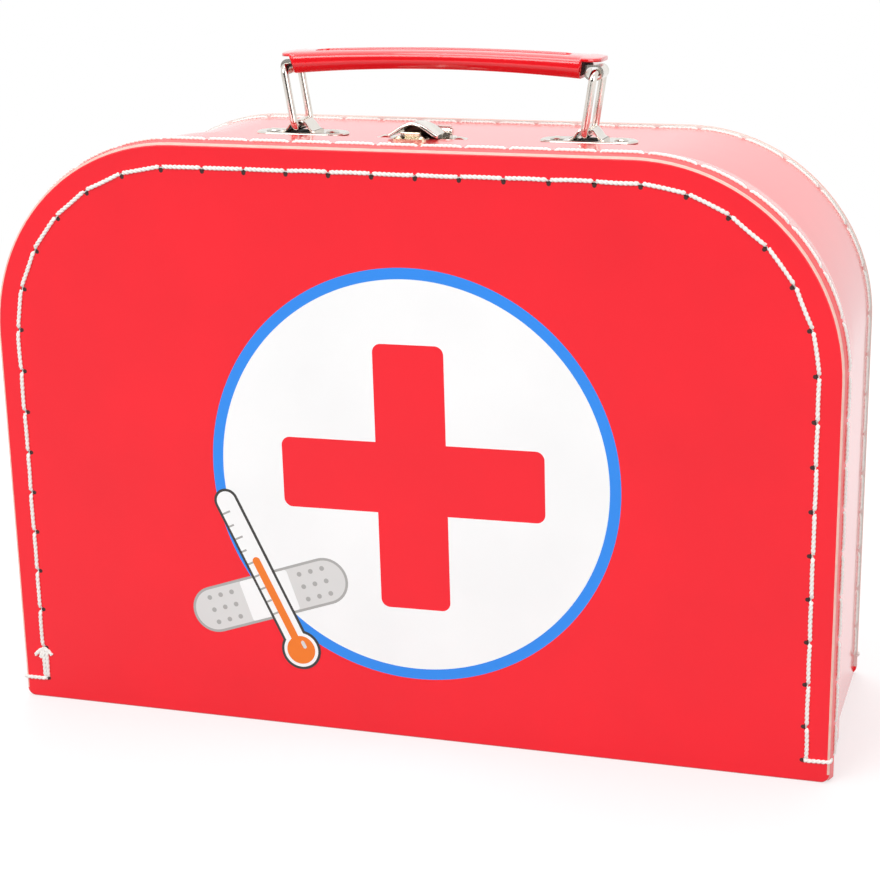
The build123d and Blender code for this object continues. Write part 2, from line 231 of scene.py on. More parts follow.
boardLook = {
    "red": (0.93, 0.006, 0.020),
    # painted light: the walls get a paler copy of the board red, for their glare
    "litWallRed": (0.94, 0.045, 0.050),
    "cutEdge": (0.95, 0.58, 0.50),
    "rawInside": (0.80, 0.78, 0.74),
    "roughness": 0.34,
    "rawRoughness": 0.8,
    "film": 1.0,               # clear varnish over the walls' paper
    "filmRoughness": 0.09,
    "foldHeight": 2.6 * mm,    # below this the paper goes round the fold
    "paperWrap": 0.12 * mm,    # printed paper's own edge, before the bare board shows
}


def paperGrain(tree, shader):
    addBump(tree, shader, noise(tree, 1500, 4), 0.03 * mm, 0.5)
    addBump(tree, shader, noise(tree, 55, 2), 0.12 * mm, 0.35)


def boardPaint(tree, red):
    broad = varied(tree, red, 0.035, 26)
    speckle = rescale(tree, noise(tree, 2600, 2), 0.62, 0.80, 0, 0.10)
    return mixColour(tree, speckle, broad, shadedBy(red, 0.75))


def edgePaint(tree, look, along):
    layers = noise(tree, 420, 3, stretched(tree, along))
    shade = rescale(tree, layers, 0.3, 0.7, 0.86, 1.04)
    return vectorMath(tree, "MULTIPLY", look["cutEdge"], shade)[0]


def coverBoard(tree, shader, red, grain, cutMask, insideMask, look):
    # printed paper, with bare board where the masks say so
    colour = mixColour(tree, cutMask, boardPaint(tree, red), edgePaint(tree, look, grain))
    feed(tree, shader.inputs["Base Color"], mixColour(tree, insideMask, colour, look["rawInside"]))
    raw = calculate(tree, "MAXIMUM", cutMask, insideMask)
    feed(tree, shader.inputs["Roughness"], rescale(tree, raw, 0, 1, look["roughness"], look["rawRoughness"]))
    paperGrain(tree, shader)


def panelBoard(name, facing, faceY, look):
    # red on its face and round the fold, bare board on its edge and inside
    material, tree, shader = startMaterial(name, look["roughness"])
    normal = normalParts(tree)
    place = parts(tree, objectPlace(tree))
    depth = calculate(tree, "SUBTRACT", facing * faceY, multiply(tree, place[1], facing))
    behind = calculate(tree, "GREATER_THAN", depth, look["paperWrap"])
    raised = calculate(tree, "GREATER_THAN", place[2], look["foldHeight"])
    cutMask = multiply(tree, behind, raised)
    insideMask = calculate(tree, "GREATER_THAN", multiply(tree, normal[1], -facing), 0.5)
    insideMask = multiply(tree, insideMask, raised)
    coverBoard(tree, shader, look["red"], (1, 12, 1), cutMask, insideMask, look)
    return material


def stripBoard(name, look, creaseY=-1.0):
    # varnished red outside, bare board on its edges and inside, red again in front of the crease
    material, tree, shader = startMaterial(name, look["roughness"])
    shader.inputs["Coat Weight"].default_value = look["film"]
    shader.inputs["Coat Roughness"].default_value = look["filmRoughness"]
    coordinate = tree.nodes.new("ShaderNodeTexCoord")
    normalY = parts(tree, coordinate.outputs["Normal"])[1]
    cutMask = calculate(tree, "GREATER_THAN", calculate(tree, "ABSOLUTE", normalY), 0.7)
    fromMiddle = vectorMath(tree, "SUBTRACT", coordinate.outputs["Object"], (0, 0, panelHigh.z / 2))[0]
    outwards = vectorMath(tree, "DOT_PRODUCT", fromMiddle, coordinate.outputs["Normal"])["Value"]
    insideMask = calculate(tree, "LESS_THAN", outwards, 0)
    lined = calculate(tree, "GREATER_THAN", parts(tree, coordinate.outputs["Object"])[1], creaseY)
    cutMask = multiply(tree, cutMask, lined)
    insideMask = multiply(tree, multiply(tree, insideMask, lined), calculate(tree, "SUBTRACT", 1, cutMask))
    # painted light: the walls' red is a paler copy of the board red
    coverBoard(tree, shader, look["litWallRed"], (1, 1, 1), cutMask, insideMask, look)
    return material


def linerPaper(name, colour):
    material, tree, shader = startMaterial(name, 0.72)
    fibres = noise(tree, 900, 4, stretched(tree, (1, 1, 0.3)))
    feed(tree, shader.inputs["Base Color"], varied(tree, colour, 0.03, 340))
    addBump(tree, shader, fibres, 0.05 * mm, 0.4)
    return material


def hingeCloth(name, colour):
    material, tree, shader = startMaterial(name, 0.85)
    shader.inputs["Sheen Weight"].default_value = 0.3
    threads = []
    for axis in ("X", "Z"):
        wave = tree.nodes.new("ShaderNodeTexWave")
        wave.bands_direction = axis
        wave.inputs["Scale"].default_value = 480
        wave.inputs["Distortion"].default_value = 0.6
        feed(tree, wave.inputs["Vector"], objectPlace(tree))
        threads.append(wave.outputs[1])
    weave = calculate(tree, "MAXIMUM", threads[0], threads[1])
    feed(tree, shader.inputs["Base Color"], mixColour(tree, weave, shadedBy(colour, 0.7), colour))
    addBump(tree, shader, weave, 0.12 * mm, 0.7)
    return material


def dress(name, material):
    nodes[name].data.materials.clear()
    nodes[name].data.materials.append(material)


def dressBoards():
    # in front of its tape the base board is part of the crease
    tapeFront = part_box("base_hinge_tape")[0].y + 0.1 * mm
    boards = {
        "lid_panel": panelBoard("lidBoard", -1, panelLow.y, boardLook),
        "back_panel": panelBoard("backBoard", 1, backHigh.y, boardLook),
        "lid_rim": stripBoard("lidStrip", boardLook),
        "body_wall": stripBoard("wallStrip", boardLook),
        "base_board": stripBoard("baseBoard", boardLook, tapeFront),
    }
    liner = linerPaper("liner", (0.86, 0.84, 0.80))
    tape = hingeCloth("tape", (0.70, 0.05, 0.05))
    for name in ("lid_lining", "back_lining", "wall_lining", "base_lining"):
        boards[name] = liner
    for name in ("lid_hinge_tape", "base_hinge_tape"):
        boards[name] = tape
    for name, material in boards.items():
        dress(name, material)


dressBoards()
print("boards dressed")


# Metal and plastic

# painted shade: a dark, less shiny colour for what lies inside the bracket tunnels and the lever's arch
hollowShadeLook = {
    "colour": (0.09, 0.075, 0.055),
    "metallic": 0.55,
    "shine": 0.1,
    "depth": 0.15 * mm,    # a surface's least distance from the axis
    "reach": 7 * mm,
}


def hollowShadeMask(tree, centreX, centreZ, mirrored, rearY):
    # painted shade: one where a surface faces the axis of a tunnel or an arch that runs from front to back,
    # and on the front of what closes it behind rearY
    place, normal = parts(tree, objectPlace(tree)), normalParts(tree)
    across, normalX = place[0], normal[0]
    if mirrored:
        normalX = multiply(tree, normalX, calculate(tree, "SIGN", across))
        across = calculate(tree, "ABSOLUTE", across)
    fromX = calculate(tree, "SUBTRACT", across, centreX)
    fromZ = calculate(tree, "SUBTRACT", place[2], centreZ)
    inwards = calculate(tree, "ADD", multiply(tree, fromX, normalX), multiply(tree, fromZ, normal[2]))
    facing = calculate(tree, "LESS_THAN", inwards, -hollowShadeLook["depth"])
    flat = calculate(tree, "LESS_THAN", calculate(tree, "ABSOLUTE", normal[1]), 0.5)
    near = calculate(tree, "LESS_THAN", calculate(tree, "ABSOLUTE", fromX), hollowShadeLook["reach"])
    closing = multiply(
        tree, calculate(tree, "LESS_THAN", normal[1], -0.5), calculate(tree, "GREATER_THAN", place[1], rearY)
    )
    return calculate(tree, "MAXIMUM", multiply(tree, multiply(tree, facing, flat), near), closing)


def plated(name, colour, roughness, hollow=None):
    material, tree, shader = startMaterial(name, roughness, 1.0)
    cloud = rescale(tree, noise(tree, 180, 4), 0.40, 0.75, 0, 0.6)
    paint = mixColour(tree, cloud, colour, shadedBy(colour, 0.62))
    if hollow:
        # painted shade: dark colour and less shine inside the tunnel or arch
        mask = hollowShadeMask(tree, *hollow)
        paint = mixColour(tree, mask, paint, hollowShadeLook["colour"])
        feed(tree, shader.inputs["Metallic"], rescale(tree, mask, 0, 1, 1, hollowShadeLook["metallic"]))
        feed(tree, shader.inputs["Specular IOR Level"], rescale(tree, mask, 0, 1, 0.5, hollowShadeLook["shine"]))
    feed(tree, shader.inputs["Base Color"], paint)
    rub = noise(tree, 700, 3, stretched(tree, (1, 6, 1)))
    feed(tree, shader.inputs["Roughness"], rescale(tree, rub, 0.3, 0.7, roughness * 0.7, roughness * 1.5))
    addBump(tree, shader, noise(tree, 330, 3), 0.05 * mm, 0.25)
    return material


def mouldedPlastic(name, colour, roughness):
    # glossy above; painted shade: darker and duller where it faces down
    material, tree, shader = startMaterial(name, roughness)
    shader.inputs["Coat Roughness"].default_value = 0.05
    shader.inputs["Coat IOR"].default_value = 1.65
    # painted shade on the downward faces, with less coat there
    under = rescale(tree, normalParts(tree)[2], -0.12, 0.0, 1, 0)
    paint = mixColour(tree, under, varied(tree, colour, 0.03, 90), shadedBy(colour, 0.72))
    feed(tree, shader.inputs["Base Color"], paint)
    feed(tree, shader.inputs["Coat Weight"], rescale(tree, under, 0, 1, 0.9, 0.1))
    addBump(tree, shader, noise(tree, 70, 2), 0.15 * mm, 0.25)
    return material


bracketLow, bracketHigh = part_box("right_bracket")
leverLow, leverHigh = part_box("clasp_lever")
openBehind = 1.0
bridgeHollow = ((bracketLow.x + bracketHigh.x) / 2, bracketLow.z + 2.6 * mm, True, openBehind)
leverHollow = ((leverLow.x + leverHigh.x) / 2, leverLow.z + 1.6 * mm, False, leverLow.y + 5 * mm)
nickelColour = (0.80, 0.76, 0.70)
nickel = plated("nickelPlate", nickelColour, 0.15)
# these two carry painted shade inside the bridge's tunnel and the lever's arch
bridgeNickelPaintedShade = plated("bridgeNickelPaintedShade", nickelColour, 0.15, bridgeHollow)
leverNickelPaintedShade = plated("leverNickelPaintedShade", (0.90, 0.86, 0.78), 0.15, leverHollow)
paleBrass = plated("paleBrass", (0.88, 0.78, 0.58), 0.22)
gripPlastic = mouldedPlastic("gripPlastic", (0.80, 0.006, 0.014), 0.16)
# painted shade: a dark sheet in the opening under each bracket's bridge
paintedTunnelShade = flatMaterial("paintedTunnelShade", (0.03, 0.022, 0.018), 0.7)
# painted shade: dark sheets in the grip's open ends
paintedEndShade = flatMaterial("paintedEndShade", (0.02, 0.002, 0.002), 0.8)


def dressMetal():
    plan = {
        nickel: (
            "bracket_rivets", "rivet_washers", "clasp_base", "clasp_rivets", "clasp_pin",
            "left_link", "right_link", "grip_core",
        ),
        paleBrass: ("clasp_catch", "catch_rivets"),
        gripPlastic: ("grip_shell",),
    }
    for material, names in plan.items():
        for name in names:
            dress(name, material)


dressMetal()
print("metal and plastic dressed")


# Finished meshes

def meshFrom(name, shape):
    mesh = bpy.data.meshes.new(name)
    shape.to_mesh(mesh)
    shape.free()
    return mesh


def addPiece(name, mesh, material, body, smooth=False):
    mesh.materials.append(material)
    if smooth:
        mesh.shade_smooth()
    piece = bpy.data.objects.new(name, mesh)
    sceneLinks.link(piece)
    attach(piece, body)
    return piece


def finishPiece(name, shape, material, body, smooth=False):
    return addPiece(name, meshFrom(name, shape), material, body, smooth)


def loftRings(shape, rings):
    # skin over closed rings of equal length, capped at both ends
    before = None
    for points in rings:
        ring = [shape.verts.new(point) for point in points]
        if before is None:
            shape.faces.new(ring)
        else:
            for index in range(len(ring)):
                after = (index + 1) % len(ring)
                shape.faces.new((before[index], before[after], ring[after], ring[index]))
        before = ring
    shape.faces.new(before)


def blend(share, before, start, end, after):
    # between start and end, bent by their neighbours
    slope = (end - before) * share
    bend = (2 * before - 5 * start + 4 * end - after) * share**2
    twist = (3 * start - before - 3 * end + after) * share**3
    return start + 0.5 * (slope + bend + twist)


def smoothLine(points, steps):
    # a smooth curve through the points
    ends = [points[0], *points, points[-1]]
    curve = []
    for four in zip(ends, ends[1:], ends[2:], ends[3:]):
        for step in range(steps):
            curve.append(tuple(blend(step / steps, *values) for values in zip(*four)))
    return curve + [points[-1]]


def ribbonRing(line, half):
    # both sides of a strip of sheet that follows a line
    over, under = [], []
    for index, (x, z) in enumerate(line):
        x0, z0 = line[max(0, index - 1)]
        x1, z1 = line[min(len(line) - 1, index + 1)]
        length = math.hypot(x1 - x0, z1 - z0)
        normalX, normalZ = -(z1 - z0) / length, (x1 - x0) / length
        over.append((x + normalX * half, z + normalZ * half))
        under.append((x - normalX * half, z - normalZ * half))
    return over + under[::-1]


# Brackets: a pressed oval plate with a bridge of the same sheet over the wire

bracketLook = {
    "length": 29 * mm,
    "width": 11 * mm,
    "roundSteps": 16,
    "plateRings": (    # inset from the outline, height, both mm
        (0.60, 0.0), (0.06, 0.16), (0.0, 0.38), (0.16, 0.64), (0.55, 0.80), (1.05, 0.80), (1.75, 0.70),
    ),
    "bridgeLine": (    # across and up from the plate's middle, mm
        (5.2, 0.98), (4.5, 1.06), (3.85, 1.45), (3.3, 2.15),
        (2.75, 2.95), (2.0, 3.72), (1.05, 4.14), (0, 4.24),
    ),
    "bridgeStations": (    # front to back, half the sheet's thickness, both mm
        (-4.0, 0.20), (-3.9, 0.29), (-3.65, 0.34), (-3.2, 0.35),
        (3.2, 0.35), (3.65, 0.34), (3.9, 0.29), (4.0, 0.20),
    ),
    "tunnelHalf": (2.9 * mm, 3.9 * mm),
    "tunnelFloor": (0.5 * mm, 0.82 * mm),
}


def slotOutline(inset, z, look):
    radius = look["width"] / 2 - inset
    reach = (look["length"] - look["width"]) / 2
    points = []
    for side, first in ((1, -90), (-1, 90)):
        for step in range(look["roundSteps"] + 1):
            turn = math.radians(first + step * 180 / look["roundSteps"])
            points.append((side * reach + radius * math.cos(turn), radius * math.sin(turn), z))
    return points


def shapePlate(look):
    plate = bmesh.new()
    loftRings(plate, [slotOutline(inset * mm, height * mm, look) for inset, height in look["plateRings"]])
    return plate


def shapeBridge(look):
    half = smoothLine([(x * mm, z * mm) for x, z in look["bridgeLine"]], 3)
    line = half + [(-x, z) for x, z in reversed(half[:-1])]
    bridge = bmesh.new()
    loftRings(bridge, [
        [(x, y * mm, z) for x, z in ribbonRing(line, thickness * mm)]
        for y, thickness in look["bridgeStations"]
    ])
    return bridge


def shapeTunnel(look):
    # painted shade: a dark sheet standing for the shade in the opening under the bridge
    x, y = look["tunnelHalf"]
    tunnel = bmesh.new()
    loftRings(tunnel, [[(-x, -y, z), (x, -y, z), (x, y, z), (-x, y, z)] for z in look["tunnelFloor"]])
    return tunnel


def pressBracket(name, node, look):
    low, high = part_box(node)
    middle = Vector(((low.x + high.x) / 2, (low.y + high.y) / 2, low.z))
    pressed = {}
    for title, shape, material in (
        ("Plate", shapePlate(look), nickel),
        ("Bridge", shapeBridge(look), bridgeNickelPaintedShade),
        ("Tunnel", shapeTunnel(look), paintedTunnelShade),
    ):
        bmesh.ops.recalc_face_normals(shape, faces=shape.faces)
        bmesh.ops.translate(shape, verts=shape.verts, vec=middle)
        pressed[title] = finishPiece(name + title, shape, material, "root", smooth=True)
        pressed[title].data.set_sharp_from_angle(angle=math.radians(50))
    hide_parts(node)


pressBracket("leftBracket", "left_bracket", bracketLook)
pressBracket("rightBracket", "right_bracket", bracketLook)
print("brackets pressed")


# Clasp lever: an arched shell with a rolled front lip, a rear wall and a barrel on the pin

leverLook = {
    "stations": (    # back from the front edge, half width, height, wall, all mm
        (0.0, 7.30, 3.70, 0.45), (0.12, 7.50, 3.90, 0.75), (0.45, 7.60, 4.00, 0.95), (1.0, 7.58, 3.98, 0.95),
        (1.7, 7.42, 3.84, 0.85), (2.5, 7.25, 3.68, 0.75), (6.5, 7.20, 3.64, 0.75), (10.0, 7.05, 3.52, 0.75),
        (10.8, 6.85, 3.36, 0.75), (11.25, 6.50, 3.10, 0.75), (11.4, 6.20, 2.90, 0.75),
    ),
    "rearStations": (    # the wall that closes the arch behind, all mm
        (10.6, 6.2, 2.9), (11.3, 6.1, 2.85),
    ),
    "steps": 32,
    "fullness": 0.65,    # smaller makes a broader crown
    "barrelRadius": 1.6 * mm,
    "barrelLength": 7.6 * mm,
    "armStart": 11.0 * mm,     # the arm runs from the rear wall down to the barrel
    "armHeight": 1.9 * mm,
    "armEnd": 1.58 * mm,
}


def archLine(halfWidth, height, look):
    # flared feet and a round crown
    line = []
    for step in range(look["steps"] + 1):
        x = halfWidth * (1 - 2 * step / look["steps"])
        bell = 0.5 + 0.5 * math.cos(math.pi * x / halfWidth)
        line.append((x, height * bell ** look["fullness"]))
    return line


def pressLever(look):
    middleX = (leverLow.x + leverHigh.x) / 2
    radius = look["barrelRadius"]
    pinY, pinZ = leverHigh.y - radius, leverLow.z + radius

    def placed(outline, along):
        return [(middleX + x * mm, leverLow.y + along * mm, pinZ + z * mm) for x, z in outline]

    shape = bmesh.new()
    loftRings(shape, [
        placed(ribbonRing(archLine(half, height - wall / 2, look), -wall / 2), along)
        for along, half, height, wall in look["stations"]
    ])
    loftRings(shape, [
        placed(archLine(half, height, look), along) for along, half, height in look["rearStations"]
    ])
    reach = look["barrelLength"] / 2
    turned = Matrix.Translation((middleX, pinY, pinZ)) @ Matrix.Rotation(math.pi / 2, 4, "Y")
    bmesh.ops.create_cone(
        shape, cap_ends=True, segments=36, radius1=radius, radius2=radius, depth=2 * reach, matrix=turned,
    )
    left, right = middleX - reach, middleX + reach
    loftRings(shape, [
        [(left, y, pinZ), (right, y, pinZ), (right, y, pinZ + height), (left, y, pinZ + height)]
        for y, height in ((leverLow.y + look["armStart"], look["armHeight"]), (pinY, look["armEnd"]))
    ])
    bmesh.ops.recalc_face_normals(shape, faces=shape.faces)
    lever = finishPiece("leverShell", shape, leverNickelPaintedShade, "clasp_lever", smooth=True)
    lever.data.set_sharp_from_angle(angle=math.radians(42))
    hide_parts("clasp_lever")


pressLever(leverLook)
print("clasp lever pressed")


# Grip: a moulded bar with a crease along each side, a raised rim and a shallow panel on top

gripLook = {
    "crown": 1.4 * mm,
    "depth": 5.9 * mm,      # lowest to highest line of one section
    "droop": 0.45 * mm,     # lower at the ends
    "bow": 1.0 * mm,        # and hollowed towards the middle
    "skin": 1.2 * mm,
    # for the left and the right end: how far the top stops short of the grip's box, where the
    # side walls end, and how far their lower corners draw back
    "trim": {-1: 2.0 * mm, 1: 1.5 * mm},
    "skirt": {-1: 44.8 * mm, 1: 43.7 * mm},
    "slant": {-1: 1.4 * mm, 1: 0.7 * mm},
    "endRadius": 4.4 * mm,
    "panelHalf": 39 * mm,
    "panelSide": 3.5 * mm,
    "panelSink": 0.55 * mm,
    "sideLine": (    # inset at the walls and past their ends in mm, share of the height
        (2.2, 2.2, 0.0), (1.25, 1.25, 0.04), (0.75, 0.2625, 0.10), (0.08, 0.08, 0.31), (0.0, 0.0, 0.35),
        (0.05, 0.05, 0.72), (0.20, 0.20, 0.79), (0.60, 0.60, 0.86), (1.5, 1.5, 0.925), (2.9, 2.9, 0.98),
    ),
}
gripLow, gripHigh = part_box("grip_shell")
gripMiddle = (gripLow + gripHigh) / 2
gripHalfWidth = (gripHigh.y - gripLow.y) / 2


def gripReach(end, look):
    return (gripHigh.x - gripLow.x) / 2 - look["trim"][end]


def panelHalfWidth(x, look):
    # the sunk panel has round ends
    side = look["panelSide"]
    past = abs(x) - (look["panelHalf"] - side)
    if past > 0:
        side = math.sqrt(max(0.0004 * mm, side**2 - past**2)) if abs(x) < look["panelHalf"] else 0.0
    return max(side, 0.35 * mm)


def gripSection(x, look):
    # half a section from the bottom's middle round the side to the top's middle
    end = 1 if x > 0 else -1
    half, radius = gripReach(end, look), look["endRadius"]
    fromEnd = half - abs(x)
    width = gripHalfWidth
    if fromEnd < radius:
        width -= radius - math.sqrt(max(0, radius**2 - (radius - fromEnd) ** 2))
    narrow = width / gripHalfWidth
    arch = 1 - (x / half) ** 2
    top = gripHigh.z - look["crown"] * (1 - arch)
    bottom = top - look["depth"] - look["droop"] + look["bow"] * arch
    slant = look["slant"][end]
    rise = min(1, max(0, (abs(x) - look["skirt"][end] + slant) / slant))
    bottom += rise * (top - look["skin"] - bottom)
    side = panelHalfWidth(x, look)
    sink = look["panelSink"] if abs(x) < look["panelHalf"] - 0.2 * mm else 0.0
    sideLine = [
        (width - (wall + (past - wall) * rise) * mm * narrow, bottom + share * (top - bottom))
        for wall, past, share in look["sideLine"]
    ]
    return [
        (0, bottom),
        *sideLine,
        (min(side + 0.45 * mm, width - 3.6 * mm * narrow), top),
        (side + 0.15 * mm, top - 0.12 * sink),
        (side, top - 0.85 * sink),
        (side - 0.2 * mm, top - sink),
        (0, top - sink),
    ]


def gripStations(look):
    radius, panel = look["endRadius"], look["panelHalf"]
    places = {0.0}
    for side in (-1, 1):
        half, skirt, slant = gripReach(side, look), look["skirt"][side], look["slant"][side]
        row = [half - radius * (1 - math.cos(math.radians(turn))) for turn in range(12, 91, 13)]
        row += [half - 0.01 * mm, skirt, skirt - slant, skirt + 0.3 * mm, skirt - slant - 0.3 * mm]
        reach = panel - look["panelSide"]
        row += [reach + look["panelSide"] * math.sin(math.radians(turn)) for turn in range(0, 90, 11)]
        row += [panel - 0.22 * mm, panel - 0.18 * mm, panel + 0.3 * mm]
        row += [reach * step / 14 for step in range(1, 14)]
        places.update(side * place for place in row)
    ordered = sorted(places)
    kept = ordered[:1]
    for place in ordered[1:]:
        if place - kept[-1] > 0.03 * mm:
            kept.append(place)
    return kept


def mouldGrip(look):
    shape = bmesh.new()
    rings = []
    for x in gripStations(look):
        halfRing = gripSection(x, look)
        outline = halfRing + [(-y, z) for y, z in reversed(halfRing[1:-1])]
        rings.append([(gripMiddle.x + x, gripMiddle.y + y, z) for y, z in outline])
    loftRings(shape, rings)
    bmesh.ops.recalc_face_normals(shape, faces=shape.faces)
    grip = finishPiece("gripBar", shape, gripPlastic, "grip", smooth=True)
    grip.data.set_sharp_from_angle(angle=math.radians(32))
    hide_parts("grip_shell")


def gripEndShade(name, side, look):
    # painted shade: a dark sheet for the shade in the open end behind the wire loop
    skirt = look["skirt"][side]
    top = gripHigh.z - look["crown"] + 0.2 * mm
    low = top - look["depth"] + 0.8 * mm
    wide = gripHalfWidth - 1.5 * mm
    lean = look["slant"][side] * 0.75
    shape = bmesh.new()
    corners = [
        (skirt - lean, -wide, low), (skirt - lean, wide, low),
        (skirt, wide, top - look["skin"]), (skirt, -wide, top - look["skin"]),
    ]
    face = shape.faces.new([shape.verts.new((side * x, gripMiddle.y + y, z)) for x, y, z in corners])
    flat = bmesh.ops.extrude_face_region(shape, geom=[face])
    lifted = [item for item in flat["geom"] if isinstance(item, bmesh.types.BMVert)]
    bmesh.ops.translate(shape, verts=lifted, vec=(side * 0.12 * mm, 0, -0.03 * mm))
    bmesh.ops.recalc_face_normals(shape, faces=shape.faces)
    finishPiece(name, shape, paintedEndShade, "grip")


mouldGrip(gripLook)
gripEndShade("gripEndShadeLeft", -1, gripLook)
gripEndShade("gripEndShadeRight", 1, gripLook)
print("grip moulded")


# Print on the front: flat inks a few hundredths of a millimetre thick

printLook = {
    "centre": (3.43 * mm, 80.55 * mm),
    "discRadius": 58.23 * mm,
    "ringRadius": 61.5 * mm,
    "crossHalfArm": 39.5 * mm,
    "crossHalfBar": 10.57 * mm,
    "crossCorner": 2.6 * mm,
    "crossLean": -0.0109,
    "ink": 0.02 * mm,
    "roundSteps": 192,
}


def inkFilm(name, colour, roughness=0.34):
    material, tree, shader = startMaterial(name, roughness)
    feed(tree, shader.inputs["Base Color"], varied(tree, colour, 0.025, 30))
    paperGrain(tree, shader)
    return material


whiteInk = inkFilm("whiteInk", (0.96, 0.96, 0.96))
blueInk = inkFilm("blueInk", (0.022, 0.262, 0.88))
redInk = inkFilm("redInk", boardLook["red"])
greyInk = inkFilm("greyInk", (0.42, 0.41, 0.40))
darkInk = inkFilm("darkInk", (0.035, 0.032, 0.030))
orangeInk = inkFilm("orangeInk", (0.90, 0.20, 0.012))
paleInk = inkFilm("paleInk", (0.72, 0.71, 0.70))


def raiseInk(shape, layers):
    flat = bmesh.ops.extrude_face_region(shape, geom=list(shape.faces))
    lifted = [item for item in flat["geom"] if isinstance(item, bmesh.types.BMVert)]
    bmesh.ops.translate(shape, verts=lifted, vec=(0, -layers * printLook["ink"], 0))
    bmesh.ops.recalc_face_normals(shape, faces=shape.faces)


def layInk(name, shape, material, layers, centre, turn=0.0):
    raiseInk(shape, layers)
    bmesh.ops.rotate(shape, verts=shape.verts, cent=(0, 0, 0), matrix=Matrix.Rotation(turn, 3, "Y"))
    bmesh.ops.translate(shape, verts=shape.verts, vec=(centre[0], panelLow.y, centre[1]))
    finishPiece(name, shape, material, "lid")


def flatDisc(radius, steps):
    shape = bmesh.new()
    bmesh.ops.create_circle(shape, cap_ends=True, segments=steps, radius=radius, matrix=upright)
    return shape


def flatRing(inner, outer, steps):
    shape = bmesh.new()
    for radius in (inner, outer):
        bmesh.ops.create_circle(shape, cap_ends=False, segments=steps, radius=radius, matrix=upright)
    bmesh.ops.bridge_loops(shape, edges=shape.edges)
    return shape


def flatOutline(points, radius=0.0, rounded=None, steps=8):
    shape = bmesh.new()
    corners = [shape.verts.new((x, 0, z)) for x, z in points]
    shape.faces.new(corners)
    if radius:
        chosen = corners if rounded is None else [corners[index] for index in rounded]
        bmesh.ops.bevel(
            shape, geom=chosen, offset=radius, offset_type="OFFSET", segments=steps,
            profile=0.5, affect="VERTICES", material=-1, clamp_overlap=True,
        )
    return shape


def roundedBar(length, width, radius=None):
    half, side = length / 2, width / 2
    corners = [(-half, -side), (half, -side), (half, side), (-half, side)]
    return flatOutline(corners, radius or side * 0.999, steps=10)


def printEmblem(look):
    arm, bar = look["crossHalfArm"], look["crossHalfBar"]
    cross = [
        (-bar, -arm), (bar, -arm), (bar, -bar), (arm, -bar), (arm, bar), (bar, bar),
        (bar, arm), (-bar, arm), (-bar, bar), (-arm, bar), (-arm, -bar), (-bar, -bar),
    ]
    tips = [0, 1, 3, 4, 6, 7, 9, 10]
    disc = flatDisc(look["discRadius"], look["roundSteps"])
    layInk("printDisc", disc, whiteInk, 1, look["centre"])
    ring = flatRing(look["discRadius"], look["ringRadius"], look["roundSteps"])
    layInk("printRing", ring, blueInk, 1, look["centre"])
    shape = flatOutline(cross, look["crossCorner"], tips)
    layInk("printCross", shape, redInk, 2, look["centre"], look["crossLean"])


printEmblem(printLook)
print("emblem printed")


# A small picture across the ring: a thermometer over a sticking plaster

motifLook = {
    "thermometerCentre": (-43 * mm, 46 * mm),
    "thermometerLean": math.radians(64),
    "thermometerLength": 60 * mm,
    "thermometerWidth": 7.6 * mm,
    "bulbRadius": 6.2 * mm,
    "plasterCentre": (-42 * mm, 41 * mm),
    "plasterLean": math.radians(-19),
    "plasterLength": 52 * mm,
    "plasterWidth": 14.5 * mm,
    "padLength": 16 * mm,
    "ventRadius": 0.75 * mm,
    "ventStart": 3.6 * mm,     # first vent past the pad
    "ventStep": (3.8 * mm, 4.0 * mm),
    "outline": 0.8 * mm,
    "columnShare": 0.52,
    "columnWidth": 2.4 * mm,
    "shine": (2.6 * mm, 1.1 * mm),
    "shinePlace": (-1.2 * mm, 1.6 * mm),
    "tickCount": 9,
    "tickStart": 7 * mm,
    "tickStep": 4.2 * mm,
    "tickReach": (2.6 * mm, 1.7 * mm),
    "tickHalf": 0.3 * mm,
    "roundSteps": 64,
}


def around(centre, lean, along, across=0.0):
    x = centre[0] + along * math.cos(lean) + across * math.sin(lean)
    z = centre[1] - along * math.sin(lean) + across * math.cos(lean)
    return x, z


def printPlaster(look):
    centre, lean = look["plasterCentre"], look["plasterLean"]
    length, width, edge = look["plasterLength"], look["plasterWidth"], look["outline"]
    layInk("motifPlasterEdge", roundedBar(length, width), greyInk, 2, centre, lean)
    layInk("motifPlaster", roundedBar(length - 2 * edge, width - 2 * edge), paleInk, 3, centre, lean)
    pad = roundedBar(look["padLength"], width - 2 * edge, 0.8 * mm)
    layInk("motifPad", pad, whiteInk, 4, centre, lean)
    vents = bmesh.new()
    stepAlong, stepAcross = look["ventStep"]
    for side in (-1, 1):
        for row in (-1, 0, 1):
            for column in range(3):
                along = side * (look["padLength"] / 2 + look["ventStart"] + column * stepAlong)
                if abs(along) < (length - width) / 2 + 2 * mm:
                    x, z = around((0, 0), 0, along, row * stepAcross)
                    bmesh.ops.create_circle(
                        vents, cap_ends=True, segments=16, radius=look["ventRadius"],
                        matrix=Matrix.Translation((x, 0, z)) @ upright,
                    )
    layInk("motifVents", vents, greyInk, 4, centre, lean)


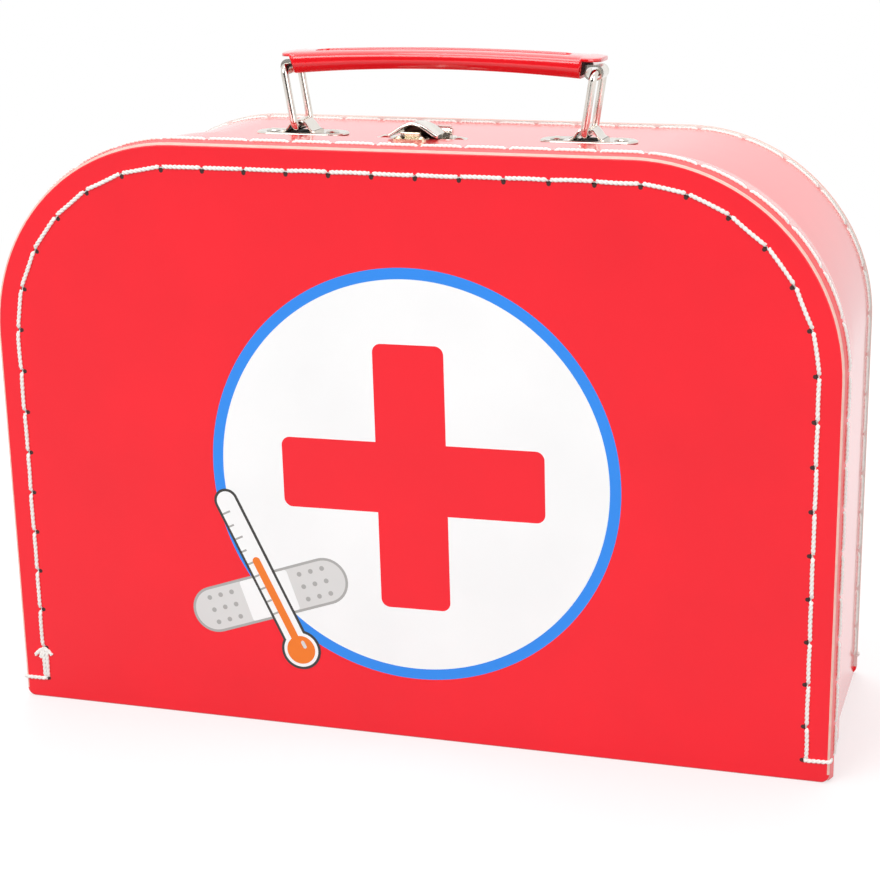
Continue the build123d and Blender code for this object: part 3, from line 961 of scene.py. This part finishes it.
def printThermometer(look):
    centre, lean = look["thermometerCentre"], look["thermometerLean"]
    length, width, edge = look["thermometerLength"], look["thermometerWidth"], look["outline"]
    bulb, steps = look["bulbRadius"], look["roundSteps"]
    start = length / 2 - bulb
    bulbPlace = around(centre, lean, start)
    tubePlace = around(centre, lean, -bulb / 2)
    tube = roundedBar(length - bulb - 2 * edge, width - 2 * edge)
    layInk("motifTubeEdge", roundedBar(length - bulb, width), darkInk, 5, tubePlace, lean)
    layInk("motifBulbEdge", flatDisc(bulb, steps), darkInk, 6, bulbPlace)
    layInk("motifTube", tube, whiteInk, 7, tubePlace, lean)
    layInk("motifBulbGlass", flatDisc(bulb - edge, steps), whiteInk, 8, bulbPlace)
    layInk("motifBulb", flatDisc(bulb - 2.2 * edge, steps), orangeInk, 9, bulbPlace)
    columnLength = length * look["columnShare"]
    column = roundedBar(columnLength, look["columnWidth"])
    layInk("motifColumn", column, orangeInk, 10, around(centre, lean, start - columnLength / 2), lean)
    shine = roundedBar(*look["shine"])
    layInk("motifShine", shine, paleInk, 11, around(bulbPlace, lean, *look["shinePlace"]), lean)
    ticks = bmesh.new()
    low = -width / 2 + edge
    half = look["tickHalf"]
    for index in range(look["tickCount"]):
        along = -length / 2 + look["tickStart"] + index * look["tickStep"]
        high = low + look["tickReach"][index % 2]
        corners = ((along - half, low), (along + half, low), (along + half, high), (along - half, high))
        ticks.faces.new([ticks.verts.new((x, 0, z)) for x, z in corners])
    layInk("motifTicks", ticks, greyInk, 8, centre, lean)


printPlaster(motifLook)
printThermometer(motifLook)
print("motif printed")


# Seam thread: two-ply cotton, one stitch from hole to hole

seamLook = {
    "edgeBand": 0.9 * mm,
    "cornerRadius": 58 * mm,
    "inset": 6.5 * mm,
    "foot": 6.5 * mm,
    "pitch": 12.6 * mm,
    "footStitch": 10.2 * mm,
    "plyRadius": 0.40 * mm,
    "plyOffset": 0.26 * mm,
    "flatten": 0.45,
    "twist": 2.7 * mm,
    "stepsPerTwist": 8,
    "rise": 0.25 * mm,       # thread's middle above the board
    "wallRise": 0.10 * mm,   # pulled tighter into the bent strip
    "dive": 1.0 * mm,        # how deep it goes at a hole
    "diveReach": 0.75 * mm,
    "holeSide": 0.7 * mm,    # the thread lies this far outside the line of holes
    "slack": 0.16 * mm,      # sideways wander
    "lidSetback": 4.6 * mm,
    "backSetback": 2.5 * mm,
    "strandSides": 3,
    "tails": ((-3.4, -2.6), (2.6, -2.2), (-1.6, -3.4)),    # ends of the loose ends from the knot, mm
}
random.seed(11)


def seamShape(look):
    # half the width, corner radius, height, length of one upright side
    half = panelHigh.x - look["edgeBand"] - look["inset"]
    radius = look["cornerRadius"] - look["inset"]
    crown = panelHigh.z - look["edgeBand"] - look["inset"]
    return half, radius, crown, crown - radius - look["foot"]


def seamLength(look):
    half, radius, _, side = seamShape(look)
    return 2 * side + math.pi * radius + 2 * (half - radius)


def seamStation(distance, look):
    # place and heading on the line of holes, from the left foot over the top
    half, radius, crown, side = seamShape(look)
    arc = radius * math.pi / 2
    total = seamLength(look)
    if distance > total / 2:
        x, z, heading = seamStation(total - distance, look)
        return -x, z, -heading
    if distance <= side:
        return -half, look["foot"] + distance, math.pi / 2
    if distance <= side + arc:
        turn = (distance - side) / radius
        x = -(half - radius) - radius * math.cos(turn)
        z = crown - radius + radius * math.sin(turn)
        return x, z, math.pi / 2 - turn
    return -(half - radius) + distance - side - arc, crown, 0.0


def holeDistances(look):
    total = seamLength(look)
    even = total - 2 * look["footStitch"]
    count = round(even / look["pitch"])
    between = [look["footStitch"] + even * index / count for index in range(count + 1)]
    return [0.0, *between, total]


def diveDepth(along, length, look):
    nearest = min(along, length - along)
    return look["dive"] * math.exp(-((nearest / look["diveReach"]) ** 2))


def faceStitch(first, last, faceY, outward, look):
    # centre points with the directions across and out, hole to hole in a straight chord
    x0, z0, heading0 = seamStation(first, look)
    x1, z1, heading1 = seamStation(last, look)
    start, end = Vector((x0, 0, z0)), Vector((x1, 0, z1))
    heading = (heading0 + heading1) / 2
    across = Vector((-math.sin(heading), 0, math.cos(heading)))
    length = (end - start).length
    wander = random.uniform(-1, 1) * look["slack"]
    lean = random.uniform(-1, 1) * look["slack"]
    steps = round(length / look["twist"] * look["stepsPerTwist"])
    points = []
    for step in range(steps + 1):
        share = step / steps
        side = look["holeSide"] + wander * math.sin(math.pi * share) + lean * (share - 0.5)
        lift = look["rise"] - diveDepth(share * length, length, look)
        middle = start.lerp(end, share) + across * side
        middle.y = faceY + outward * lift
        points.append((middle, across, Vector((0, outward, 0))))
    return points


def wallStitch(first, last, inset, wallY, look):
    # a stitch that follows the bent strip
    length = last - first
    wander = random.uniform(-1, 1) * look["slack"]
    steps = round(length / look["twist"] * look["stepsPerTwist"])
    points = []
    for step in range(steps + 1):
        share = step / steps
        x, z, heading = seamStation(first + share * length, look)
        out = Vector((-math.sin(heading), 0, math.cos(heading)))
        lift = look["inset"] - inset + look["wallRise"] - diveDepth(share * length, length, look)
        middle = Vector((x, 0, z)) + out * lift
        middle.y = wallY + wander * math.sin(math.pi * share)
        points.append((middle, Vector((0, 1, 0)), out))
    return points


def bentRun(corners, look):
    # a short run over straight pieces: corners are (point, outward direction)
    points = []
    for (start, outStart), (end, outEnd) in zip(corners, corners[1:]):
        length = (end - start).length
        steps = max(2, round(length / look["twist"] * look["stepsPerTwist"] * 1.5))
        for step in range(steps):
            share = step / steps
            out = outStart.lerp(outEnd, share).normalized()
            along = (end - start).normalized()
            points.append((start.lerp(end, share), along.cross(out).normalized(), out))
    return points


def twistStrands(name, runs, look, body, material, replaced):
    curve = bpy.data.curves.new(name, "CURVE")
    curve.dimensions = "3D"
    curve.bevel_depth = look["plyRadius"]
    curve.bevel_resolution = look["strandSides"] - 2
    curve.use_fill_caps = True
    for run in runs:
        phase = random.uniform(0, 2 * math.pi)
        travelled = [0.0]
        for (before, _, _), (after, _, _) in zip(run, run[1:]):
            travelled.append(travelled[-1] + (after - before).length)
        for ply in (0, 1):
            spline = curve.splines.new("POLY")
            spline.points.add(len(run) - 1)
            for index, (middle, across, out) in enumerate(run):
                angle = phase + ply * math.pi + 2 * math.pi * travelled[index] / look["twist"]
                offset = across * math.cos(angle) + out * math.sin(angle) * look["flatten"]
                place = middle + offset * look["plyOffset"]
                spline.points[index].co = (*place, 1)
    shape = bpy.data.objects.new(name + "Curve", curve)
    sceneLinks.link(shape)
    bpy.context.view_layer.update()
    mesh = bpy.data.meshes.new_from_object(shape.evaluated_get(bpy.context.evaluated_depsgraph_get()))
    bpy.data.objects.remove(shape)
    mesh.name = name
    mesh.materials.clear()
    piece = addPiece(name, mesh, material, body, smooth=True)
    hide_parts(replaced)


def cottonThread(name, colour):
    material, tree, shader = startMaterial(name, 0.78)
    shader.inputs["Sheen Weight"].default_value = 0.35
    shader.inputs["Sheen Roughness"].default_value = 0.5
    feed(tree, shader.inputs["Base Color"], varied(tree, colour, 0.05, 900))
    addBump(tree, shader, noise(tree, 6000, 2), 0.05 * mm, 0.5)
    return material


cotton = cottonThread("cottonThread", (0.93, 0.91, 0.87))


def edgeTurn(side, edgeX, faceY, outward, look):
    # from the last hole over the panel's edge and back along the wall
    foot, rise = look["foot"], look["rise"]
    holeX = (panelHigh.x - look["edgeBand"] - look["inset"]) * side
    edge = side * (edgeX + rise)
    front = Vector((0, outward, 0))
    flank = Vector((side, 0, 0))
    z = foot + random.uniform(-0.3, 0.3) * mm
    return bentRun([
        (Vector((holeX, faceY - outward * 0.8 * mm, foot)), front),
        (Vector((holeX + side * 0.6 * mm, faceY + outward * rise, foot)), front),
        (Vector((edge - side * 0.5 * mm, faceY + outward * rise, z)), front),
        (Vector((edge, faceY - outward * 0.2 * mm, z)), flank),
        (Vector((edge, faceY - outward * 2.0 * mm, z)), flank),
    ], look)


def backTack(look):
    # the doubled last stitch and the short tails at the front's left foot
    runs = [[
        (middle - across * 1.05 * mm + out * 0.05 * mm, across, out)
        for middle, across, out in faceStitch(0, look["footStitch"], panelLow.y, -1, look)
    ]]
    x, z, _ = seamStation(look["footStitch"], look)
    front = Vector((0, -1, 0))
    knot = Vector((x - 0.3 * mm, panelLow.y - look["rise"], z - 0.2 * mm))
    for reachX, reachZ in look["tails"]:
        middle = knot + Vector((reachX * 0.5, 0, reachZ * 0.35)) * mm
        tip = knot + Vector((reachX, 0, reachZ)) * mm
        runs.append(bentRun([(knot, front), (middle, front), (tip, front)], look))
    return runs


def sewSeams(look):
    holes = holeDistances(look)
    faceHalf = panelHigh.x - look["edgeBand"]
    for name, body, faceY, outward, edgeX, wallX, setback, replaced in (
        ("lidThread", "lid", panelLow.y, -1, panelHigh.x, rimHigh.x, look["lidSetback"], "lid"),
        ("backThread", "root", backHigh.y, 1, backHigh.x, wallHigh.x, look["backSetback"], "back"),
    ):
        faceRuns = [faceStitch(start, end, faceY, outward, look) for start, end in zip(holes, holes[1:])]
        faceRuns += [edgeTurn(side, edgeX, faceY, outward, look) for side in (-1, 1)]
        if outward < 0:
            faceRuns += backTack(look)
        wallY = faceY - outward * setback
        wallRuns = [
            wallStitch(start, end, faceHalf - wallX, wallY, look) for start, end in zip(holes, holes[1:])
        ]
        twistStrands(name + "Face", faceRuns, look, body, cotton, replaced + "_face_thread")
        twistStrands(name + "Wall", wallRuns, look, body, cotton, replaced + "_wall_thread")


sewSeams(seamLook)
print("seams sewn")


# Awl holes: painted shade, a dark lining inside each hole and a dark spot on the face beside it

awlLook = {
    "half": 0.83 * mm,
    "sink": 0.12 * mm,
    "depth": 1.1 * mm,
    "rim": 0.62 * mm,
    "rimShift": 0.42 * mm,    # the dark spot of painted shade lies inside the thread
}


# painted shade: the near-black brown stands for the shade inside the holes
def awlHoleShade(name):
    material, tree, shader = startMaterial(name, 0.9)
    feed(tree, shader.inputs["Base Color"], varied(tree, (0.055, 0.022, 0.020), 0.3, 800))
    addBump(tree, shader, noise(tree, 2500, 2), 0.1 * mm, 0.6)
    return material


def lineHoles(name, faceY, outward, body, look):
    shape = bmesh.new()
    stations = [seamStation(distance, seamLook) for distance in holeDistances(seamLook)]
    for x, z, heading in stations:
        rings = []
        for depth, half in ((look["sink"], look["half"]), (look["depth"], look["half"] * 0.8)):
            spot = Matrix.Translation((x, faceY - outward * depth, z))
            spot = spot @ Matrix.Rotation(-heading, 4, "Y") @ upright
            made = bmesh.ops.create_circle(shape, cap_ends=False, segments=4, radius=half, matrix=spot)
            rings.append(made["verts"])
        edges = [edge for edge in shape.edges if edge.verts[0] in rings[0] + rings[1]]
        bmesh.ops.bridge_loops(shape, edges=edges)
        shape.faces.new(rings[1])
    bmesh.ops.recalc_face_normals(shape, faces=shape.faces)
    bmesh.ops.solidify(shape, geom=shape.faces, thickness=0.02 * mm)
    for x, z, heading in stations:
        x += math.sin(heading) * look["rimShift"]
        z -= math.cos(heading) * look["rimShift"]
        sheets = []
        for lift in (0.005 * mm, 0.02 * mm):
            spot = Matrix.Translation((x, faceY + outward * lift, z)) @ upright
            made = bmesh.ops.create_circle(shape, cap_ends=True, segments=14, radius=look["rim"], matrix=spot)
            sheets += made["verts"]
        rims = {edge for vert in sheets for edge in vert.link_edges}
        bmesh.ops.bridge_loops(shape, edges=list(rims))
    bmesh.ops.recalc_face_normals(shape, faces=shape.faces)
    finishPiece(name, shape, awlHoleShadeMaterial, body)


awlHoleShadeMaterial = awlHoleShade("awlHoleShade")
lineHoles("lidHoles", panelLow.y, -1, "lid", awlLook)
lineHoles("backHoles", backHigh.y, 1, "root", awlLook)
print("awl holes lined")


# Floor, light and background

stageLook = {
    "floorSize": 8.0,
    "floorColour": (0.42, 0.42, 0.42),
    "floorGlow": 0.58,
    "fadeStart": 0.32,
    "fadeEnd": 0.85,
    "skyLight": 0.55,
}


def mixShader(tree, share, first, second):
    node = tree.nodes.new("ShaderNodeMixShader")
    feed(tree, node.inputs[0], share)
    feed(tree, node.inputs[1], first.outputs[0])
    feed(tree, node.inputs[2], second.outputs[0])
    return node.outputs[0]


def seenDirectly(tree):
    # one for the camera's rays and for reflections
    light = tree.nodes.new("ShaderNodeLightPath")
    return calculate(tree, "MAXIMUM", light.outputs["Is Camera Ray"], light.outputs["Is Glossy Ray"]), light


def layFloor(look):
    shape = bmesh.new()
    bmesh.ops.create_grid(shape, x_segments=2, y_segments=2, size=look["floorSize"] / 2)
    mesh = meshFrom("floor", shape)
    material, tree, shader = startMaterial("floorPaper", 0.9)
    feed(tree, shader.inputs["Base Color"], varied(tree, look["floorColour"], 0.01, 3))
    seen, _ = seenDirectly(tree)
    shader.inputs["Specular IOR Level"].default_value = 0.1
    shader.inputs["Emission Color"].default_value = (1, 1, 1, 1)
    feed(tree, shader.inputs["Emission Strength"], multiply(tree, seen, look["floorGlow"]))
    away = vectorMath(tree, "LENGTH", objectPlace(tree))["Value"]
    fade = rescale(tree, away, look["fadeStart"], look["fadeEnd"], 0, 1, smooth=True)
    white = tree.nodes.new("ShaderNodeEmission")
    surface = tree.nodes["Material Output"].inputs["Surface"]
    feed(tree, surface, mixShader(tree, multiply(tree, seen, fade), shader, white))
    mesh.materials.append(material)
    floor = bpy.data.objects.new("floor", mesh)
    sceneLinks.link(floor)


def lightSky(look):
    world = bpy.data.worlds.new("world")
    bpy.context.scene.world = world
    world.use_nodes = True
    tree = world.node_tree
    backdrop = tree.nodes["Background"]
    backdrop.inputs["Color"].default_value = (1, 1, 1, 1)
    soft = tree.nodes.new("ShaderNodeBackground")
    soft.inputs["Color"].default_value = (1, 1, 1, 1)
    soft.inputs["Strength"].default_value = look["skyLight"]
    seen, light = seenDirectly(tree)
    seen = calculate(tree, "MAXIMUM", seen, light.outputs["Is Transmission Ray"])
    feed(tree, tree.nodes["World Output"].inputs["Surface"], mixShader(tree, seen, soft, backdrop))


lampLook = {
    "keyLamp": {"place": (-0.55, -1.05, 0.95), "size": 0.9, "power": 9.8, "shines": True},
    "fillLamp": {"place": (0.95, -0.95, 0.55), "size": 0.9, "power": 5.4, "shines": True},
    "topLamp": {"place": (0.0, 0.10, 1.25), "size": 0.8, "power": 5.0, "shines": True},
    "backLamp": {"place": (-0.35, 1.15, 0.85), "size": 1.0, "power": 8.0, "shines": False},
}


def hangLamps(lamps):
    middle = (cadLow + cadHigh) / 2
    for name, lamp in lamps.items():
        data = bpy.data.lights.new(name, "AREA")
        data.size = lamp["size"]
        data.energy = lamp["power"]
        lampObject = bpy.data.objects.new(name, data)
        lampObject.location = lamp["place"]
        towards = middle - Vector(lamp["place"])
        lampObject.rotation_euler = towards.to_track_quat("-Z", "Y").to_euler()
        lampObject.visible_glossy = lamp["shines"]
        sceneLinks.link(lampObject)


cardLook = {
    "place": (0.20, -1.50, 0.72),
    "size": (2.2, 1.4),
    "colour": (0.05, 0.045, 0.04),
}


def hangCard(look):
    # the dark room behind the camera, which only reflections see
    shape = bmesh.new()
    bmesh.ops.create_grid(shape, x_segments=1, y_segments=1, size=0.5, matrix=upright)
    bmesh.ops.scale(shape, verts=shape.verts, vec=(look["size"][0], 1, look["size"][1]))
    bmesh.ops.translate(shape, verts=shape.verts, vec=look["place"])
    mesh = meshFrom("darkCard", shape)
    material, tree, shader = startMaterial("darkCard", 0.9)
    feed(tree, shader.inputs["Base Color"], look["colour"])
    shader.inputs["Specular IOR Level"].default_value = 0.0
    mesh.materials.append(material)
    card = bpy.data.objects.new("darkCard", mesh)
    sceneLinks.link(card)
    card.visible_camera = card.visible_diffuse = False
    card.visible_shadow = card.visible_transmission = False


layFloor(stageLook)
hangCard(cardLook)
lightSky(stageLook)
hangLamps(lampLook)
bpy.context.scene.view_settings.view_transform = "Standard"
print("floor and light set")
